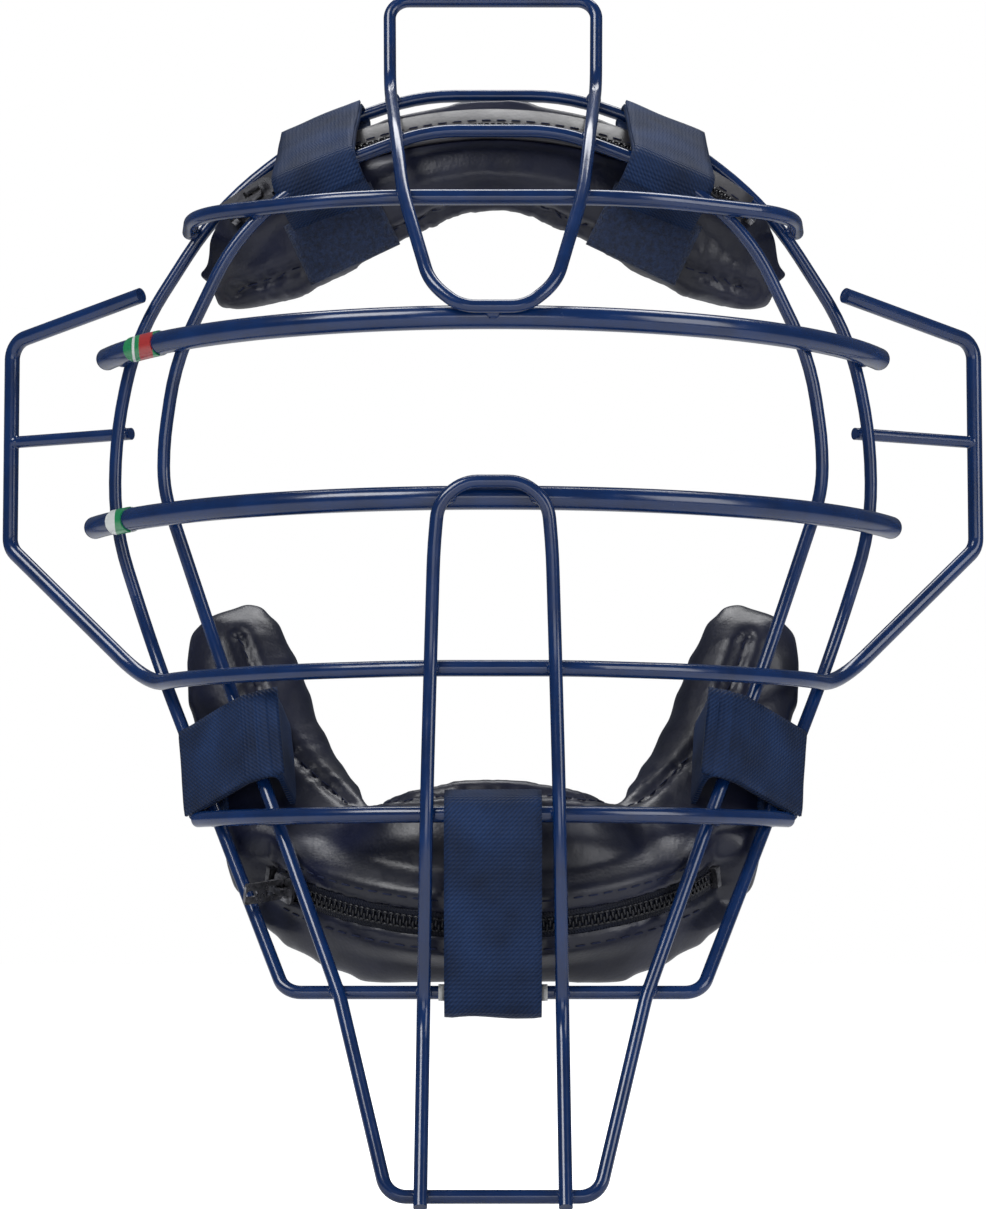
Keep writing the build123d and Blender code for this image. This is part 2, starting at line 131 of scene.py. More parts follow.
# Pad stations from the middle out: centre's x, y, z, width across the run, depth.
FOREHEAD_PAD = [
    (0, -12.0, 121.5, 45, 22),
    (20, -11.8, 118.5, 45, 22),
    (40, -10.5, 110.0, 44, 22),
    (56, -8.0, 101.5, 41, 21),
    (68, -5.0, 96.5, 36, 19),
    (76, -2.5, 92.5, 30, 17),
]
CHIN_PAD = [
    (0, -56.0, -77.9, 62, 29),
    (16, -55.0, -78.2, 61, 29),
    (33, -49.0, -77.8, 60, 28),
    (49, -34.5, -69.6, 53, 28),
    (61.5, -17.5, -44.0, 45, 27),
    (69, -9.0, -22.0, 40, 26),
    (73, -5.5, -10.0, 35, 24),
]

# How a pad is sewn, meshed and blown up.
PAD_SIDES = 26
PAD_SHRINK = 2.2
PAD_END_RINGS = ((0.86, 0.32), (0.55, 0.55))
PAD_VOXEL_M = 0.005
PAD_CAP = 6
CLOTH_PRESSURE = 4
CLOTH_STIFFNESS = 22
CLOTH_BENDING = 0.4
CLOTH_QUALITY = 4
CLOTH_FRAMES = 20

# The loop patches on the forehead pad: middle, length, height and grid.
PATCH_MIDDLE = (42.5, -24, 101.0)
PATCH_LENGTH, PATCH_HEIGHT = 27, 18
PATCH_COLUMNS, PATCH_ROWS = 19, 13
PATCH_TOP, PATCH_UNDER = 1.5, -0.6
PATCH_RAY_START, PATCH_DEEPEST = 30, 38
PATCH_PASSES = 12

# The set, in metres: lights are (name, place, aim, size, watts).
FLOOR_GAP = 4 * MM
FLOOR_HALF = 6.0
LIGHTS = [
    ("key", (-0.75, -0.9, 1.1), (0, 0, 0), (0.7, 0.7), 13),
    ("fill", (1.1, -0.8, 0.5), (0, 0, 0), (0.6, 0.9), 6),
    ("top", (0.1, 0.5, 1.3), (0, 0, 0), (1.2, 0.5), 11),
    ("low", (0, -1.3, 0.05), (0, 0, -0.02), (0.9, 0.25), 1.6),
]
CAMERA_PLACE = (0, -1.0161, -0.0889)
CAMERA_LENS = 109.3
CAMERA_SENSOR = 36


# ---------------------------------------------------------------- node materials
def material(name, colour, roughness, **sockets):
    """A Principled material; constants are set on the shader's own sockets."""
    mat = bpy.data.materials.new(name)
    mat.use_nodes = True
    shader = mat.node_tree.nodes["Principled BSDF"]
    shader.inputs["Base Color"].default_value = (*colour, 1)
    shader.inputs["Roughness"].default_value = roughness
    for key, value in sockets.items():
        shader.inputs[key.replace("_", " ")].default_value = value
    return mat, mat.node_tree, shader


def coords(tree, kind="Object", scale=(1, 1, 1)):
    """Texture coordinates, stretched by a scale."""
    source = tree.nodes.new("ShaderNodeTexCoord")
    mapping = tree.nodes.new("ShaderNodeMapping")
    mapping.inputs["Scale"].default_value = scale
    tree.links.new(source.outputs[kind], mapping.inputs["Vector"])
    return mapping.outputs["Vector"]


def texture(tree, kind, vector, **sockets):
    """A texture node with its sockets set."""
    node = tree.nodes.new(kind)
    tree.links.new(vector, node.inputs["Vector"])
    for key, value in sockets.items():
        node.inputs[key].default_value = value
    return node


def ramp(tree, value, stops):
    """A colour ramp through (position, colour) stops."""
    node = tree.nodes.new("ShaderNodeValToRGB")
    while len(node.color_ramp.elements) < len(stops):
        node.color_ramp.elements.new(0.5)
    for element, (position, colour) in zip(node.color_ramp.elements, stops):
        element.position = position
        element.color = (*colour, 1) if len(colour) == 3 else colour
    tree.links.new(value, node.inputs["Fac"])
    return node.outputs["Color"]


def bump(tree, shader, heights):
    """Stack bumps: each is (height socket, strength, distance in metres)."""
    last = None
    for height, strength, distance in heights:
        node = tree.nodes.new("ShaderNodeBump")
        node.inputs["Strength"].default_value = strength
        node.inputs["Distance"].default_value = distance
        tree.links.new(height, node.inputs["Height"])
        if last:
            tree.links.new(last, node.inputs["Normal"])
        last = node.outputs["Normal"]
    tree.links.new(last, shader.inputs["Normal"])


def cage_paint():
    """Gloss navy powder coat with faint orange peel and cloudy depth."""
    mat, tree, shader = material("cage_paint", (0.002, 0.016, 0.08), 0.22)
    shader.inputs["Coat Weight"].default_value = 0.4
    shader.inputs["Coat Roughness"].default_value = 0.12
    shader.inputs["IOR"].default_value = 1.5
    vector = coords(tree)
    cloud = texture(tree, "ShaderNodeTexNoise", vector, Scale=90, Detail=3)
    colour = ramp(
        tree, cloud.outputs["Fac"], [(0.3, (0.0018, 0.017, 0.078)), (0.7, (0.0026, 0.026, 0.118))]
    )
    tree.links.new(colour, shader.inputs["Base Color"])
    peel = texture(tree, "ShaderNodeTexNoise", vector, Scale=900, Detail=2)
    scuff = texture(tree, "ShaderNodeTexNoise", vector, Scale=260, Detail=4)
    rough = ramp(tree, scuff.outputs["Fac"], [(0.45, (0.2,) * 3), (0.85, (0.3,) * 3)])
    tree.links.new(rough, shader.inputs["Roughness"])
    bump(tree, shader, [(peel.outputs["Fac"], 0.12, 0.00002)])
    return mat


def vinyl(name, colour, pebble=1.0):
    """Coated synthetic leather: fine pebble grain, soft creases and a clear coat."""
    mat, tree, shader = material(name, colour, 0.34)
    shader.inputs["Coat Weight"].default_value = 0.12
    shader.inputs["Coat Roughness"].default_value = 0.28
    vector = coords(tree)
    grain = texture(tree, "ShaderNodeTexVoronoi", vector, Scale=1150)
    grain.feature = "SMOOTH_F1"
    crease = texture(tree, "ShaderNodeTexNoise", vector, Scale=120, Detail=5, Roughness=0.6)
    crease.inputs["Distortion"].default_value = 0.7
    broad = texture(tree, "ShaderNodeTexNoise", vector, Scale=34, Detail=3)
    dark = tuple(c * 0.62 for c in colour)
    light = tuple(c * 1.5 + 0.002 for c in colour)
    shade = ramp(tree, broad.outputs["Fac"], [(0.35, dark), (0.68, light)])
    tree.links.new(shade, shader.inputs["Base Color"])
    rough = ramp(tree, crease.outputs["Fac"], [(0.35, (0.33,) * 3), (0.7, (0.47,) * 3)])
    tree.links.new(rough, shader.inputs["Roughness"])
    bump(
        tree,
        shader,
        [
            (broad.outputs["Fac"], 0.2, 0.0009),
            (crease.outputs["Fac"], 0.22, 0.00035),
            (grain.outputs["Distance"], 0.4 * pebble, 0.00012),
        ],
    )
    return mat


def woven(name, colour, period=0.0011, gloss=0.5):
    """Webbing: ribs of a period in metres and a twill of yarns, by the piece's own UV."""
    mat, tree, shader = material(name, colour, gloss)
    shader.inputs["Specular IOR Level"].default_value = 0.22
    shader.inputs["Sheen Weight"].default_value = 0.04
    shader.inputs["Sheen Roughness"].default_value = 0.4
    vector = coords(tree, "UV")
    ribs = texture(tree, "ShaderNodeTexWave", vector, Scale=0.314 / period)
    ribs.bands_direction = "X"
    yarns = texture(tree, "ShaderNodeTexWave", vector, Scale=0.58 / period, Distortion=0.6)
    yarns.bands_direction = "DIAGONAL"
    fuzz = texture(tree, "ShaderNodeTexNoise", vector, Scale=700, Detail=4)
    blotch = texture(tree, "ShaderNodeTexNoise", vector, Scale=60, Detail=2)
    dark = tuple(c * 0.55 for c in colour)
    light = tuple(c * 1.45 for c in colour)
    shade = ramp(tree, blotch.outputs["Fac"], [(0.3, dark), (0.7, light)])
    yarn_shade = tree.nodes.new("ShaderNodeMixRGB")
    yarn_shade.blend_type = "MULTIPLY"
    yarn_shade.inputs["Fac"].default_value = 0.45
    tree.links.new(shade, yarn_shade.inputs["Color1"])
    tree.links.new(yarns.outputs["Color"], yarn_shade.inputs["Color2"])
    tree.links.new(yarn_shade.outputs["Color"], shader.inputs["Base Color"])
    bump(
        tree,
        shader,
        [
            (ribs.outputs["Fac"], 0.35, 0.0004),
            (yarns.outputs["Fac"], 0.35, 0.0003),
            (fuzz.outputs["Fac"], 0.3, 0.0002),
        ],
    )
    return mat


def loop_pile():
    """The soft side of hook-and-loop: a tangle of tiny loops."""
    mat, tree, shader = material("loop_pile", (0.007, 0.016, 0.05), 0.8)
    shader.inputs["Sheen Weight"].default_value = 0.1
    shader.inputs["Sheen Roughness"].default_value = 0.55
    vector = coords(tree)
    tangle = texture(tree, "ShaderNodeTexVoronoi", vector, Scale=1500)
    fuzz = texture(tree, "ShaderNodeTexNoise", vector, Scale=800, Detail=6, Roughness=0.75)
    shade = ramp(
        tree, fuzz.outputs["Fac"], [(0.35, (0.002, 0.007, 0.026)), (0.7, (0.014, 0.036, 0.11))]
    )
    tree.links.new(shade, shader.inputs["Base Color"])
    bump(
        tree,
        shader,
        [(fuzz.outputs["Fac"], 0.8, 0.0008), (tangle.outputs["Distance"], 0.6, 0.0004)],
    )
    return mat


def zip_metal():
    """Dark nickel plate, a little rubbed."""
    mat, tree, shader = material("zip_metal", (0.22, 0.22, 0.235), 0.3, Metallic=1.0)
    vector = coords(tree)
    rub = texture(tree, "ShaderNodeTexNoise", vector, Scale=500, Detail=4)
    shade = ramp(tree, rub.outputs["Fac"], [(0.35, (0.09, 0.09, 0.1)), (0.7, (0.34, 0.34, 0.36))])
    tree.links.new(shade, shader.inputs["Base Color"])
    rough = ramp(tree, rub.outputs["Fac"], [(0.3, (0.42,) * 3), (0.7, (0.22,) * 3)])
    tree.links.new(rough, shader.inputs["Roughness"])
    bump(tree, shader, [(rub.outputs["Fac"], 0.2, 0.0001)])
    return mat


def moulded(name, colour, roughness, grain=700.0):
    """Plain moulded plastic with a fine texture."""
    mat, tree, shader = material(name, colour, roughness)
    vector = coords(tree)
    cloud = texture(tree, "ShaderNodeTexNoise", vector, Scale=grain, Detail=3)
    dark = tuple(c * 0.75 for c in colour)
    light = tuple(min(1, c * 1.2) for c in colour)
    shade = ramp(tree, cloud.outputs["Fac"], [(0.3, dark), (0.7, light)])
    tree.links.new(shade, shader.inputs["Base Color"])
    bump(tree, shader, [(cloud.outputs["Fac"], 0.3, 0.0001)])
    return mat


def ribbed_sleeve():
    """White plastic sleeve with rings round it, with painted shade: dark grey in each ring's
    groove.
    """
    mat, tree, shader = material("ribbed_sleeve", (0.78, 0.78, 0.76), 0.45)
    vector = coords(tree)
    rings = texture(tree, "ShaderNodeTexWave", vector, Scale=150)
    rings.bands_direction = "X"
    # Painted shade: the colour follows the rings' bump, dark grey in each groove and white on each
    # rib.
    shade = ramp(
        tree, rings.outputs["Fac"], [(0.1, (0.3, 0.3, 0.3)), (0.5, (0.82, 0.82, 0.8))]
    )
    tree.links.new(shade, shader.inputs["Base Color"])
    bump(tree, shader, [(rings.outputs["Fac"], 0.6, 0.0004)])
    return mat


def striped(name, low, high, stops):
    """Colour bands along X between two places, for the wraps on the bars' ends."""
    mat, tree, shader = material(name, stops[0][1], 0.35)
    shader.inputs["Coat Weight"].default_value = 0.4
    span = high - low
    vector = coords(tree, scale=(1 / span, 1, 1))
    split = tree.nodes.new("ShaderNodeSeparateXYZ")
    tree.links.new(vector, split.inputs["Vector"])
    shift = tree.nodes.new("ShaderNodeMath")
    shift.operation = "SUBTRACT"
    shift.inputs[1].default_value = low / span
    tree.links.new(split.outputs["X"], shift.inputs[0])
    shade = ramp(tree, shift.outputs["Value"], stops)
    shade.node.color_ramp.interpolation = "CONSTANT"
    tree.links.new(shade, shader.inputs["Base Color"])
    film = texture(tree, "ShaderNodeTexNoise", coords(tree), Scale=400, Detail=3)
    bump(tree, shader, [(film.outputs["Fac"], 0.2, 0.0001)])
    return mat


def paint(obj, mat):
    """Give every slot of an object one material."""
    if not obj.data.materials:
        obj.data.materials.append(mat)
    for i in range(len(obj.data.materials)):
        obj.data.materials[i] = mat


# ---------------------------------------------------------------- mesh helpers
def new_mesh(name, vertices, faces, mat, smooth=True, uvs=None):
    """A mesh object from millimetre points; uvs is one (u, v) for each vertex."""
    mesh = bpy.data.meshes.new(name)
    mesh.from_pydata([Vector(v) * MM for v in vertices], [], faces)
    if uvs:
        layer = mesh.uv_layers.new(name="UVMap")
        for loop in mesh.loops:
            layer.data[loop.index].uv = uvs[loop.vertex_index]
    obj = bpy.data.objects.new(name, mesh)
    bpy.context.scene.collection.objects.link(obj)
    mesh.materials.append(mat)
    mesh.polygons.foreach_set("use_smooth", [smooth] * len(mesh.polygons))
    mesh.update()
    return obj


def smooth_points(points, per_run, before=None):
    """Catmull-Rom points through a short list; before is the place ahead of the first."""
    points = [Vector(p) for p in points]
    before = Vector(before) if before else 2 * points[0] - points[1]
    padded = [before, *points, 2 * points[-1] - points[-2]]
    result = []
    for i in range(1, len(padded) - 2):
        a, b, c, d = padded[i - 1 : i + 3]
        for step in range(per_run):
            t = step / per_run
            result.append(
                0.5
                * (
                    2 * b
                    + (c - a) * t
                    + (2 * a - 5 * b + 4 * c - d) * t * t
                    + (3 * b - a - 3 * c + d) * t**3
                )
            )
    result.append(points[-1])
    return result


def rounded_route(points, radius, steps=6):
    """A polyline with each corner turned on an arc."""
    points = [Vector(p) for p in points]
    result = [points[0]]
    for before, corner, after in zip(points, points[1:], points[2:]):
        back, ahead = (before - corner).normalized(), (after - corner).normalized()
        half = (math.pi - back.angle(ahead)) / 2
        room = 0.48 * min((before - corner).length, (after - corner).length)
        reach = min(radius * math.tan(half), room)
        start, end = corner + back * reach, corner + ahead * reach
        for i in range(steps + 1):
            t = i / steps
            result.append(start * (1 - t) ** 2 + corner * 2 * t * (1 - t) + end * t * t)
    result.append(points[-1])
    return result


def resample(points, gap):
    """Evenly spaced points along a polyline."""
    lengths = [(b - a).length for a, b in zip(points, points[1:])]
    total = sum(lengths)
    count = max(2, round(total / gap))
    result, run, i = [], 0.0, 0
    for k in range(count + 1):
        target = total * k / count
        while i < len(lengths) - 1 and run + lengths[i] < target:
            run += lengths[i]
            i += 1
        t = (target - run) / max(lengths[i], 1e-9)
        result.append(points[i].lerp(points[i + 1], min(max(t, 0), 1)))
    return result


def tube_faces(rows, sides, base=0):
    """Four-sided faces that join each ring of points to the next."""
    faces = []
    for row in range(rows - 1):
        for k in range(sides):
            a = base + row * sides + k
            b = base + row * sides + (k + 1) % sides
            faces.append((a, b, b + sides, a + sides))
    return faces


def capsules(name, rods, mat, sides=6):
    """Many short round-ended rods in one piece; each is (start, end, radius)."""
    rings = [(0, 0.45), (0.18, 1), (0.82, 1), (1, 0.45)]
    vertices, faces = [], []
    for start, end, radius in rods:
        run = (end - start).normalized()
        side = run.orthogonal().normalized()
        other = run.cross(side)
        base = len(vertices)
        for t, share in rings:
            for k in range(sides):
                turn = math.tau * k / sides
                offset = side * math.cos(turn) + other * math.sin(turn)
                vertices.append(start.lerp(end, t) + radius * share * offset)
        faces += tube_faces(len(rings), sides, base)
        last = base + (len(rings) - 1) * sides
        faces.append(tuple(range(base + sides - 1, base - 1, -1)))
        faces.append(tuple(range(last, last + sides)))
    return new_mesh(name, vertices, faces, mat)


def ribbon(name, route, across, width, thick, mat, seed=0, crown=0.0):
    """Flat webbing along a route: thin selvedges, a slight wander and its own UV.

    A seed picks the wander, and a crown lifts the middle of the web.
    """
    across = Vector(across).normalized()
    columns = 13
    selvedge, selvedge_thick = 0.95, 0.72
    vertices, uvs = [], []
    length = 0.0
    for i, point in enumerate(route):
        if i:
            length += (point - route[i - 1]).length
        run = route[min(i + 1, len(route) - 1)] - route[max(i - 1, 0)]
        normal = across.cross(run).normalized()
        for face in (1, -1):
            for k in range(columns):
                v = 2 * k / (columns - 1) - 1
                v *= face
                body = thick / 2 * (1 if abs(v) < selvedge else selvedge_thick)
                here = point + across * (v * width / 2)
                wander = noise.noise(here * 0.09 + Vector((seed, 0, 0))) * 0.5
                rise = crown * (1 - v * v) + wander
                vertices.append(here + normal * (face * body + rise))
                uvs.append((length * MM, v * width / 2 * MM))
    ring = 2 * columns
    faces = tube_faces(len(route), ring)
    faces.append(tuple(range(ring - 1, -1, -1)))
    last = (len(route) - 1) * ring
    faces.append(tuple(range(last, last + ring)))
    obj = new_mesh(name, vertices, faces, mat, uvs=uvs)
    fix_normals(obj)
    return obj


def fix_normals(obj):
    """Point every face outwards."""
    mesh = bmesh.new()
    mesh.from_mesh(obj.data)
    bmesh.ops.recalc_face_normals(mesh, faces=mesh.faces)
    mesh.to_mesh(obj.data)
    mesh.free()


def apply_all(obj):
    """Apply an object's modifiers."""
    depsgraph = bpy.context.evaluated_depsgraph_get()
    mesh = bpy.data.meshes.new_from_object(obj.evaluated_get(depsgraph))
    obj.modifiers.clear()
    obj.data = mesh


# ---------------------------------------------------------------- zipper geometry
class Zip:
    """A zipper's arc: places on it, and where a point stands against it."""

    def __init__(self, spec):
        self.side = Vector((1, 0, 0))
        self.bulge = Vector(spec["bulge"]).normalized()
        self.axis = self.side.cross(self.bulge)
        face = Vector(spec["face"]).normalized()
        self.out, self.up = face.dot(self.bulge), face.dot(self.axis)
        self.radius = spec["radius"]
        self.half_turn = spec["half_turn"]
        self.tape_above = spec["tape_above"]
        self.centre = Vector(spec["mid"]) - self.bulge * self.radius
        count = round(self.half_turn / TAPE_STEP)
        self.turns = [self.half_turn * i / count for i in range(-count, count + 1)]

    def point(self, turn, across=0.0, lift=0.0):
        """A place at an angle along the arc, off to one side and above it."""
        turn = math.radians(turn)
        outward = self.side * math.sin(turn) + self.bulge * math.cos(turn)
        reach = self.radius + lift * self.out + across * self.up
        return self.centre + outward * reach + self.axis * (lift * self.up - across * self.out)

    def local(self, point):
        """The angle along the arc, the distance across it and the height above it."""
        offset = point - self.centre
        x, b = offset.dot(self.side), offset.dot(self.bulge)
        radial, axial = math.hypot(x, b) - self.radius, offset.dot(self.axis)
        turn = math.degrees(math.atan2(x, b))
        across = radial * self.up - axial * self.out
        return turn, across, radial * self.out + axial * self.up


ZIPS = {name: Zip(spec) for name, spec in ZIPPERS.items()}


# ---------------------------------------------------------------- pads
def station_frames(stations):
    """Dense stations over both halves: centre, width direction, half width, half depth."""
    x, y, z, wide, deep = stations[1]
    dense = smooth_points([s[:3] for s in stations], 6, (-x, y, z))
    sizes = smooth_points([(s[3], s[4], 0) for s in stations], 6, (wide, deep, 0))
    right = []
    for i, centre in enumerate(dense):
        run = dense[min(i + 1, len(dense) - 1)] - dense[max(i - 1, 0)]
        run = Vector((1, 0, 0)) if i == 0 else Vector((run.x, 0, run.z)).normalized()
        right.append((centre, Vector((-run.z, 0, run.x)), sizes[i].x / 2, sizes[i].y / 2))
    left = []
    for centre, wide, half, deep in reversed(right[1:]):
        flip = Vector((-centre.x, centre.y, centre.z))
        left.append((flip, Vector((-wide.x, 0, wide.z)), half, deep))
    return left + right


def on_pad(place, turn, grow=0.0):
    """A point round one station's oval: 0 is the upper edge, 90 the front face."""
    centre, wide, half, deep = place
    turn = math.radians(turn)
    front = Vector((0, -1, 0))
    return (
        centre + wide * ((half + grow) * math.cos(turn)) + front * ((deep + grow) * math.sin(turn))
    )


def sewn_form(name, stations, mat):
    """A closed skin through the ovals, a little small, with rounded ends."""
    places = station_frames(stations)
    sides = PAD_SIDES
    vertices = []
    for place in places:
        vertices += [on_pad(place, 360 * k / sides, -PAD_SHRINK) for k in range(sides)]
    faces = tube_faces(len(places), sides)
    last = (len(places) - 1) * sides
    for end, near, row in ((places[0], places[1], 0), (places[-1], places[-2], last)):
        run = (end[0] - near[0]).normalized()
        edge = list(range(row, row + sides))
        for share, reach in PAD_END_RINGS:
            ring = []
            for k in range(sides):
                offset = vertices[row + k] - end[0]
                ring.append(len(vertices))
                vertices.append(end[0] + offset * share + run * (end[2] * reach))
            for k in range(sides):
                b = (k + 1) % sides
                faces.append((edge[k], edge[b], ring[b], ring[k]))
            edge = ring
        faces.append(tuple(edge))
    obj = new_mesh(name, vertices, faces, mat)
    fix_normals(obj)
    return obj


def relax(obj, passes):
    """Smooth a mesh, to take out the steps a remesh or the solver leaves."""
    smooth = obj.modifiers.new("relax", "SMOOTH")
    smooth.iterations = passes
    apply_all(obj)


def blow_up(obj):
    """Swell a closed mesh with the cloth solver; no point moves past the cap."""
    start = [v.co.copy() for v in obj.data.vertices]
    cloth = obj.modifiers.new("cloth", "CLOTH")
    cloth.settings.use_pressure = True
    cloth.settings.uniform_pressure_force = CLOTH_PRESSURE
    cloth.settings.effector_weights.gravity = 0
    cloth.settings.tension_stiffness = CLOTH_STIFFNESS
    cloth.settings.compression_stiffness = CLOTH_STIFFNESS
    cloth.settings.bending_stiffness = CLOTH_BENDING
    cloth.settings.quality = CLOTH_QUALITY
    for step in range(1, CLOTH_FRAMES + 1):
        bpy.context.scene.frame_set(step)
    apply_all(obj)
    bpy.context.scene.frame_set(1)
    for vertex, before in zip(obj.data.vertices, start):
        move = vertex.co - before
        if move.length > PAD_CAP * MM:
            vertex.co = before + move.normalized() * PAD_CAP * MM


def puffed(name, stations, mat):
    """A pad: its sewn form remeshed, blown up and subdivided."""
    obj = sewn_form(name, stations, mat)
    remesh = obj.modifiers.new("remesh", "REMESH")
    remesh.mode = "VOXEL"
    remesh.voxel_size = PAD_VOXEL_M
    apply_all(obj)
    relax(obj, 6)
    blow_up(obj)
    relax(obj, 3)
    smooth = obj.modifiers.new("subdivision", "SUBSURF")
    smooth.levels = smooth.render_levels = 2
    apply_all(obj)
    obj.data.polygons.foreach_set("use_smooth", [True] * len(obj.data.polygons))
    return obj


def seam_line(stations, turn, first, last):
    """A line along a pad, turning round its oval between two shares of its half length."""
    places = station_frames(stations)
    middle = (len(places) - 1) / 2
    points = []
    for i, place in enumerate(places):
        share = abs(i - middle) / middle
        blend = min(max((share - first) / (last - first), 0), 1)
        blend = blend * blend * (3 - 2 * blend)
        points.append(on_pad(place, turn[0] + (turn[1] - turn[0]) * blend))
    return resample(points, SEAM_STEP)


def tree_of(obj):
    """A search tree over a mesh."""
    return BVHTree.FromPolygons(
        [v.co for v in obj.data.vertices], [list(p.vertices) for p in obj.data.polygons]
    )


def drop(tree, points):
    """The nearest places on a mesh to some millimetre points, with their normals."""
    result = []
    for point in points:
        place, normal, _, _ = tree.find_nearest(point * MM)
        result.append((place / MM, normal))
    return result


def gather(obj, line, depth, gathers, reach, seed):
    """Sink a seam into a pad and pucker the skin beside it."""
    places = [place for place, _ in drop(tree_of(obj), line)]
    nearest = KDTree(len(places))
    for i, place in enumerate(places):
        nearest.insert(place, i)
    nearest.balance()
    for vertex in obj.data.vertices:
        here = vertex.co / MM
        _, index, away = nearest.find(here)
        if away > 3.2 * reach:
            continue
        wobble = noise.noise(here * 0.11 + Vector((seed, 0, 0)))
        phase = index * SEAM_STEP / GATHER_PERIOD + 1.3 * wobble
        pucker = math.sin(math.tau * phase) * gathers * math.exp(-away / reach)
        groove = depth * math.exp(-((away / 1.7) ** 2))
        swell = 0.35 * depth * math.exp(-(((away - 4.2) / 2.4) ** 2))
        vertex.co += vertex.normal * (pucker * (0.55 + 0.6 * wobble) - groove + swell) * MM
    obj.data.update()
    return places


def crumple(obj, amount, size, seed):
    """Broad soft folds across the skin: how high, how far apart, and which ones."""
    for vertex in obj.data.vertices:
        here = vertex.co / MM
        warp = noise.noise_vector(here / (size * 1.7) + Vector((seed, 3, 1)))
        fold = noise.noise(here / size + warp * 0.9 + Vector((0, seed, 0)))
        ridge = (1 - abs(fold) * 2.4) if abs(fold) < 0.42 else 0
        vertex.co += vertex.normal * amount * (0.6 * fold + 0.5 * max(ridge, 0) ** 2) * MM
    obj.data.update()


def seat(obj, zipper, below, above, spread, lip):
    """Press a flat seat for the zipper into the pad's skin; a lip folds over its tape."""
    for vertex in obj.data.vertices:
        turn, across, lift = zipper.local(vertex.co / MM)
        if abs(lift) > 13:
            continue
        facing = (zipper.point(turn, 0, 1) - zipper.point(turn, 0, 0)).normalized()
        if vertex.normal.dot(facing) < 0.15:
            continue
        beyond = max(across - above, -below - across, 0)
        side = min(max(1 - beyond / spread, 0), 1)
        end = min(max((zipper.half_turn + 9 - abs(turn)) / 7, 0), 1)
        share = (side * side * (3 - 2 * side)) * (end * end * (3 - 2 * end))
        fold = min(max((abs(across) - 2.7) / 0.9, 0), 1) * (0.5 + lip) if lip else 0
        vertex.co += facing * (-0.5 + fold - lift) * share * MM
    obj.data.update()


def stitches(name, places, mat, length=2.7, gap=1.1, radius=0.26, lift=0.18):
    """A row of thread stitches through (point, normal) places."""
    points = [place + normal * lift for place, normal in places]
    rods = []
    run, start = 0.0, points[0]
    sewing = True
    for point in points[1:]:
        if (point - start).length >= (length if sewing else gap):
            if sewing:
                rods.append((start, point, radius))
            start = point
            sewing = not sewing
    return capsules(name, rods, mat)


# ---------------------------------------------------------------- materials in use
PAINT = cage_paint()
SKIN = vinyl("pad_skin", (0.004, 0.0058, 0.021))
WEB = woven("webbing", (0.008, 0.026, 0.085), period=0.0011, gloss=0.6)
PILE = loop_pile()
TAPE_GREY = vinyl("zip_tape_grey", (0.035, 0.034, 0.04), 0.6)
TAPE_NAVY = woven("zip_tape_navy", (0.004, 0.006, 0.016), period=0.0008)
TEETH = moulded("zip_teeth", (0.006, 0.0065, 0.011), 0.3)
METAL = zip_metal()
THREAD = moulded("thread", (0.005, 0.01, 0.04), 0.85, 1500)
PLUG = moulded("bar_plug", (0.006, 0.014, 0.06), 0.4)
SLEEVE = ribbed_sleeve()

for name, node in NODES.items():
    if "zipper" in name:
        paint(node, METAL)
    elif "plug" in name:
        paint(node, PLUG)
    elif "sleeve" in name:
        paint(node, SLEEVE)
    else:
        paint(node, PAINT)

GREEN, RED, WHITE = (0.01, 0.25, 0.085), (0.42, 0.03, 0.03), (0.75, 0.78, 0.76)
for name, stops in (
    (
        "brow_label_band",
        [(0, GREEN), (0.2, WHITE), (0.26, GREEN), (0.36, RED), (0.66, GREEN), (0.8, WHITE)],
    ),
    ("eye_label_band", [(0, WHITE), (0.3, GREEN), (0.72, WHITE)]),
):
    low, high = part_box(name)
    paint(NODES[name], striped(name + "_print", low[0], high[0], stops))


def keep(piece, slot, *nodes):
    """Hang a piece on the cage and hide the CAD nodes it stands in for; the slot is not used."""
    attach(piece, "cage")
    if nodes:
        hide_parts(*nodes)
    return piece


# ---------------------------------------------------------------- forehead pad
forehead = puffed("forehead_pad", FOREHEAD_PAD, SKIN)
crumple(forehead, 0.5, 24, 4)
seat(forehead, ZIPS["forehead"], 4, 9, 5, 0)
line = seam_line(FOREHEAD_PAD, (140, 122), 0.1, 0.7)
forehead_seam = gather(forehead, line, 1.4, 0.6, 6, 2)
keep(forehead, "pad_skin", "forehead_pad_cover", "forehead_pad_foam")

# ---------------------------------------------------------------- chin pad
chin = puffed("chin_pad", CHIN_PAD, SKIN)
crumple(chin, 0.55, 30, 9)
seat(chin, ZIPS["chin"], 7, 7, 6, 1.1)
line = seam_line(CHIN_PAD, (28, 78), 0.45, 0.75)
chin_seam = gather(chin, line, 1.2, 0.34, 5, 6)
keep(chin, "pad_skin", "chin_pad_cover", "chin_pad_foam")

PADS = {"forehead": tree_of(forehead), "chin": tree_of(chin)}
for name, line in (("forehead", forehead_seam), ("chin", chin_seam)):
    placed = drop(PADS[name], resample(line, THREAD_STEP))
    keep(stitches(name + "_pad_seam", placed, THREAD, 2.4, 1.3, 0.22, 0.1), "pad_skin")

# ---------------------------------------------------------------- zippers
TAPES = {"forehead": TAPE_GREY, "chin": TAPE_NAVY}


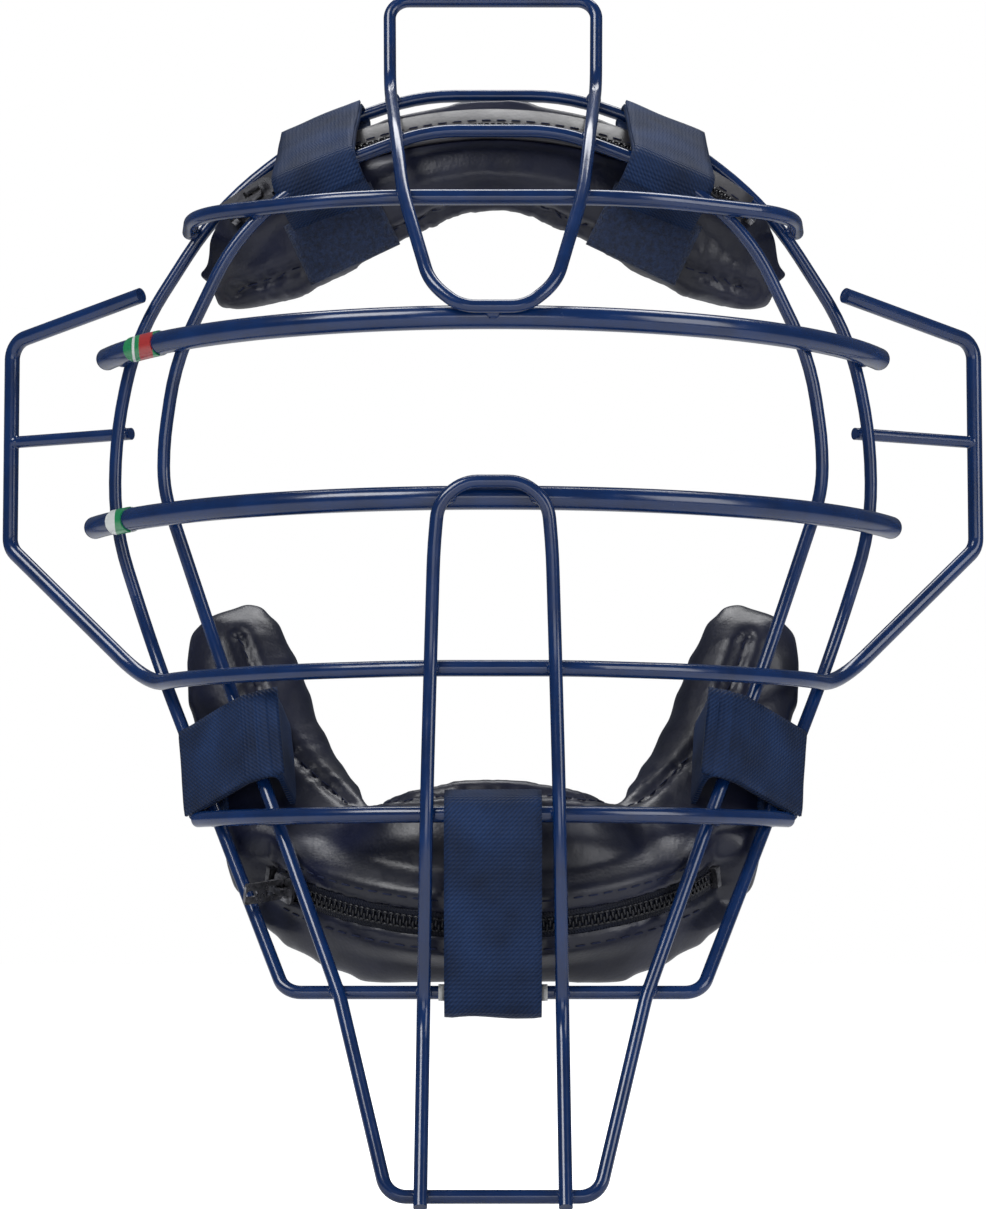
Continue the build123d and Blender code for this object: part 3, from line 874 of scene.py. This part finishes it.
def zipper_tape(name, zipper):
    """The flat tape under the teeth, thin at its two edges."""
    above = zipper.tape_above
    top = [(-3.4, 0.45), (-3.0, 0.75), (-2.3, 0.8), (-1.6, 0.95)]
    top += [(1.6, 0.95), (2.3, 0.8), (above - 0.5, 0.75), (above, 0.45)]
    outline = top + [(offset, TAPE_UNDERSIDE) for offset, _ in reversed(top)]
    vertices, uvs = [], []
    for turn in zipper.turns:
        along = math.radians(turn) * zipper.radius * MM
        for offset, height in outline:
            vertices.append(zipper.point(turn, offset, height))
            uvs.append((along, offset * MM))
    ring = len(outline)
    faces = tube_faces(len(zipper.turns), ring)
    last = (len(zipper.turns) - 1) * ring
    faces.append(tuple(range(ring)))
    faces.append(tuple(range(last, last + ring)))
    tape = new_mesh(name + "_tape", vertices, faces, TAPES[name], uvs=uvs)
    fix_normals(tape)
    return tape


def zipper_teeth(name, zipper):
    """Teeth from both sides in turn, with a coil's cord along each side."""
    rods = []
    step = math.degrees(TOOTH_PITCH / zipper.radius)
    teeth = int(zipper.half_turn * 0.97 / step)
    for i in range(-teeth, teeth + 1):
        reach = (1.4, -0.4) if i % 2 else (-1.4, 0.4)
        start = zipper.point(i * step, reach[0], 1.25)
        end = zipper.point(i * step, reach[1], 1.6)
        rods.append((start, end, 0.37))
    for side in (-1.5, 1.5):
        line = [zipper.point(t, side, 1.1) for t in zipper.turns]
        rods += [(a, b, 0.36) for a, b in zip(line, line[1:])]
    return capsules(name + "_teeth", rods, TEETH)


for name, zipper in ZIPS.items():
    keep(zipper_tape(name, zipper), "tape", name + "_zipper_tape")
    keep(zipper_teeth(name, zipper), "teeth", name + "_zipper_chain")

# One row of thread along the forehead tape, just above its teeth, in quarter degrees.
zipper = ZIPS["forehead"]
lifted = zipper.point(0, 0, 1) - zipper.point(0, 0, 0)
quarters = round(zipper.half_turn * 4)
row = [(zipper.point(t / 4, 3.2, 0.85), lifted) for t in range(-quarters, quarters + 1)]
keep(stitches("forehead_tape_stitches", row, THREAD, 2.4, 1.1, 0.22, 0), "tape")

# Twin rows sewn through the pad's skin either side of the chin zipper, in thirds of a
# degree, each row stopping 5 degrees short of the zipper's ends.
zipper = ZIPS["chin"]
thirds = round((zipper.half_turn - 5) * 3)
for side, offset in (("upper", 6.4), ("lower", -6.4)):
    row = [zipper.point(t / 3, offset, 0) for t in range(-thirds, thirds + 1)]
    placed = drop(PADS["chin"], row)
    keep(stitches("chin_pad_stitches_" + side, placed, THREAD, 2.6, 1.2, 0.26), "pad_skin")


# ---------------------------------------------------------------- straps
def mirrored(points, side):
    """Points on one side or the other."""
    return [Vector((p.x * side, p.y, p.z)) for p in points]


def side_straps(name, spec, pad):
    """A pair of straps, sewn to a pad and folded round both loops, with their loose ends."""
    rear, front = Vector(spec["rear"]), Vector(spec["front"])
    run = Vector(spec["along"]).normalized()
    inward = (rear - front).normalized()
    run = (run - inward * run.dot(inward)).normalized()
    rise = run.cross(inward)
    fold = THIN_R + WIRE_GAP + WEB_THICK / 2
    front_fold = (rear - front).length + fold + 1.2
    front_end = [(-front_fold + x, y) for x, y in spec["front_end"]]
    flat = [*front_end, (fold, spec["lift"]), (fold, -fold), (-fold - 4, -fold)]
    corners = [rear + inward * x + rise * y for x, y in flat]
    sewn, skin = drop(pad, corners[:1])[0]
    corners[0] = sewn - skin * SEWN_DEPTH
    strap_route = resample(rounded_route(corners, FOLD), ROUTE_STEP)
    tail = [
        (front_end[1][0] - 0.95, front_end[1][1] - 1.5),
        (front_end[2][0] - 0.7, front_end[2][1] + 0.95),
        (fold - 0.5, spec["lift"] + 0.95),
    ]
    tail = [rear + inward * x + rise * y for x, y in tail]
    tail_route = resample(rounded_route(tail, FOLD), ROUTE_STEP)
    width = spec["width"]
    for side, label in ((1, "left"), (-1, "right")):
        across = Vector((run.x * side, run.y, run.z))
        route = mirrored(strap_route, side)
        strap = ribbon(f"{name}_strap_{label}_web", route, across, width, WEB_THICK, WEB, side)
        keep(strap, "webbing", f"{name}_strap_{label}")
        route = mirrored(tail_route, side)
        tail_name = f"{name}_strap_tail_{label}"
        loose = ribbon(tail_name + "_web", route, across, width - 0.2, TAIL_THICK, WEB, side)
        keep(loose, "webbing", tail_name)


for name, spec in SIDE_STRAPS.items():
    side_straps(name, spec, PADS["forehead" if name == "forehead" else "chin"])

route = [Vector((0, y, z)) for y, z in CHIN_STRAP_ROUTE]
route = resample(rounded_route(route, CHIN_FOLD), ROUTE_STEP)
chin_strap = ribbon(
    "chin_strap_web", route, (1, 0, 0), WEB_WIDTH, CHIN_WEB_THICK, WEB, seed=3, crown=0.25
)
keep(chin_strap, "webbing", "chin_strap")


# ---------------------------------------------------------------- loop patches
def bridged(depths):
    """Depths under a patch that is stiffer than the skin and bridges its small folds."""
    for _ in range(PATCH_PASSES):
        for i in range(1, PATCH_ROWS - 1):
            for k in range(1, PATCH_COLUMNS - 1):
                a = i * PATCH_COLUMNS + k
                around = depths[a - 1] + depths[a + 1]
                around += depths[a - PATCH_COLUMNS]
                around += depths[a + PATCH_COLUMNS]
                depths[a] = min(depths[a], around / 4)
    return depths


def patch_faces():
    """The patch's front, its back and the rim between them."""
    columns, rows = PATCH_COLUMNS, PATCH_ROWS
    size = rows * columns
    faces = []
    for i in range(rows - 1):
        for k in range(columns - 1):
            a = i * columns + k
            faces.append((a, a + 1, a + 1 + columns, a + columns))
            faces.append((size + a, size + a + columns, size + a + columns + 1, size + a + 1))
    rim = list(range(columns))
    rim += [i * columns + columns - 1 for i in range(1, rows)]
    rim += [size - 1 - k for k in range(1, columns)]
    rim += [i * columns for i in range(rows - 2, 0, -1)]
    for a, b in zip(rim, rim[1:] + rim[:1]):
        faces.append((a, b, b + size, a + size))
    return faces


def loop_patch(label, side):
    """A thin patch of loop pile laid on the forehead pad's front."""
    middle = Vector((side * PATCH_MIDDLE[0], *PATCH_MIDDLE[1:]))
    run = Vector((side * 0.9, 0.06, -0.42)).normalized()
    facing = Vector((side * 0.12, -1, 0.05)).normalized()
    down = run.cross(facing).normalized()
    starts, depths = [], []
    for i in range(PATCH_ROWS):
        for k in range(PATCH_COLUMNS):
            u, v = k / (PATCH_COLUMNS - 1) - 0.5, i / (PATCH_ROWS - 1) - 0.5
            start = middle + run * (u * PATCH_LENGTH) + down * (v * PATCH_HEIGHT)
            start += facing * PATCH_RAY_START
            hit = PADS["forehead"].ray_cast(start * MM, -facing)[3]
            starts.append((start, u, v))
            depths.append(min(hit / MM, PATCH_DEEPEST) if hit else PATCH_DEEPEST)
    depths = bridged(depths)
    vertices, uvs = [], []
    for layer in (PATCH_TOP, PATCH_UNDER):
        for (start, u, v), depth in zip(starts, depths):
            edge = 1 if max(abs(u), abs(v)) < 0.46 else 0.45
            rise = layer if layer < 0 else layer * edge
            vertices.append(start + facing * (rise - depth))
            uvs.append((u * PATCH_LENGTH * MM, v * PATCH_HEIGHT * MM))
    patch = new_mesh(f"forehead_patch_{label}_pile", vertices, patch_faces(), PILE, uvs=uvs)
    fix_normals(patch)
    return patch


for side, label in ((1, "left"), (-1, "right")):
    keep(loop_patch(label, side), "loop_pile", f"forehead_patch_{label}")


# ---------------------------------------------------------------- set, light, camera
# To the camera the floor and the world are plain white; as lights they are far dimmer.
floor_mat, floor_tree, floor_shader = material("floor", (0.92, 0.92, 0.92), 0.9)
speck = texture(floor_tree, "ShaderNodeTexNoise", coords(floor_tree), Scale=3)
pale = ramp(floor_tree, speck.outputs["Fac"], [(0.2, (0.91,) * 3), (0.8, (0.93,) * 3)])
floor_tree.links.new(pale, floor_shader.inputs["Base Color"])
floor_shader.inputs["Emission Color"].default_value = (1, 1, 1, 1)
direct = floor_tree.nodes.new("ShaderNodeLightPath")
glow = floor_tree.nodes.new("ShaderNodeMath")
glow.operation = "MULTIPLY"
glow.inputs[1].default_value = 0.95
floor_tree.links.new(direct.outputs["Is Camera Ray"], glow.inputs[0])
floor_tree.links.new(glow.outputs["Value"], floor_shader.inputs["Emission Strength"])
low = (CAD_BOX[0][2] - FLOOR_GAP) / MM
far = FLOOR_HALF / MM
corners = [(-far, -far, low), (far, -far, low), (far, far, low), (-far, far, low)]
floor = new_mesh("floor", corners, [(0, 1, 2, 3)], floor_mat, smooth=False)
bpy.context.scene.view_settings.view_transform = "Standard"

world = bpy.data.worlds.new("studio")
bpy.context.scene.world = world
world.use_nodes = True
nodes = world.node_tree.nodes
links = world.node_tree.links
seen = nodes["Background"]
seen.inputs["Color"].default_value = (1, 1, 1, 1)
seen.inputs["Strength"].default_value = 1.0
lit = nodes.new("ShaderNodeBackground")
lit.inputs["Color"].default_value = (0.8, 0.88, 1, 1)
lit.inputs["Strength"].default_value = 0.12
rays = nodes.new("ShaderNodeLightPath")
mix = nodes.new("ShaderNodeMixShader")
links.new(rays.outputs["Is Camera Ray"], mix.inputs["Fac"])
links.new(lit.outputs["Background"], mix.inputs[1])
links.new(seen.outputs["Background"], mix.inputs[2])
links.new(mix.outputs["Shader"], nodes["World Output"].inputs["Surface"])


def softbox(name, place, aim, size, power):
    """A rectangular area light aimed at a point, in metres."""
    data = bpy.data.lights.new(name, "AREA")
    data.shape = "RECTANGLE"
    data.size, data.size_y = size
    data.energy = power
    lamp = bpy.data.objects.new(name, data)
    lamp.location = place
    lamp.rotation_euler = (Vector(aim) - Vector(place)).to_track_quat("-Z", "Y").to_euler()
    bpy.context.scene.collection.objects.link(lamp)


for light in LIGHTS:
    softbox(*light)

camera_data = bpy.data.cameras.new("camera")
camera_data.lens = CAMERA_LENS
camera_data.sensor_width = CAMERA_SENSOR
camera = bpy.data.objects.new("camera", camera_data)
camera.location = CAMERA_PLACE
camera.rotation_euler = (-camera.location).to_track_quat("-Z", "Y").to_euler()
bpy.context.scene.collection.objects.link(camera)
bpy.context.scene.camera = camera
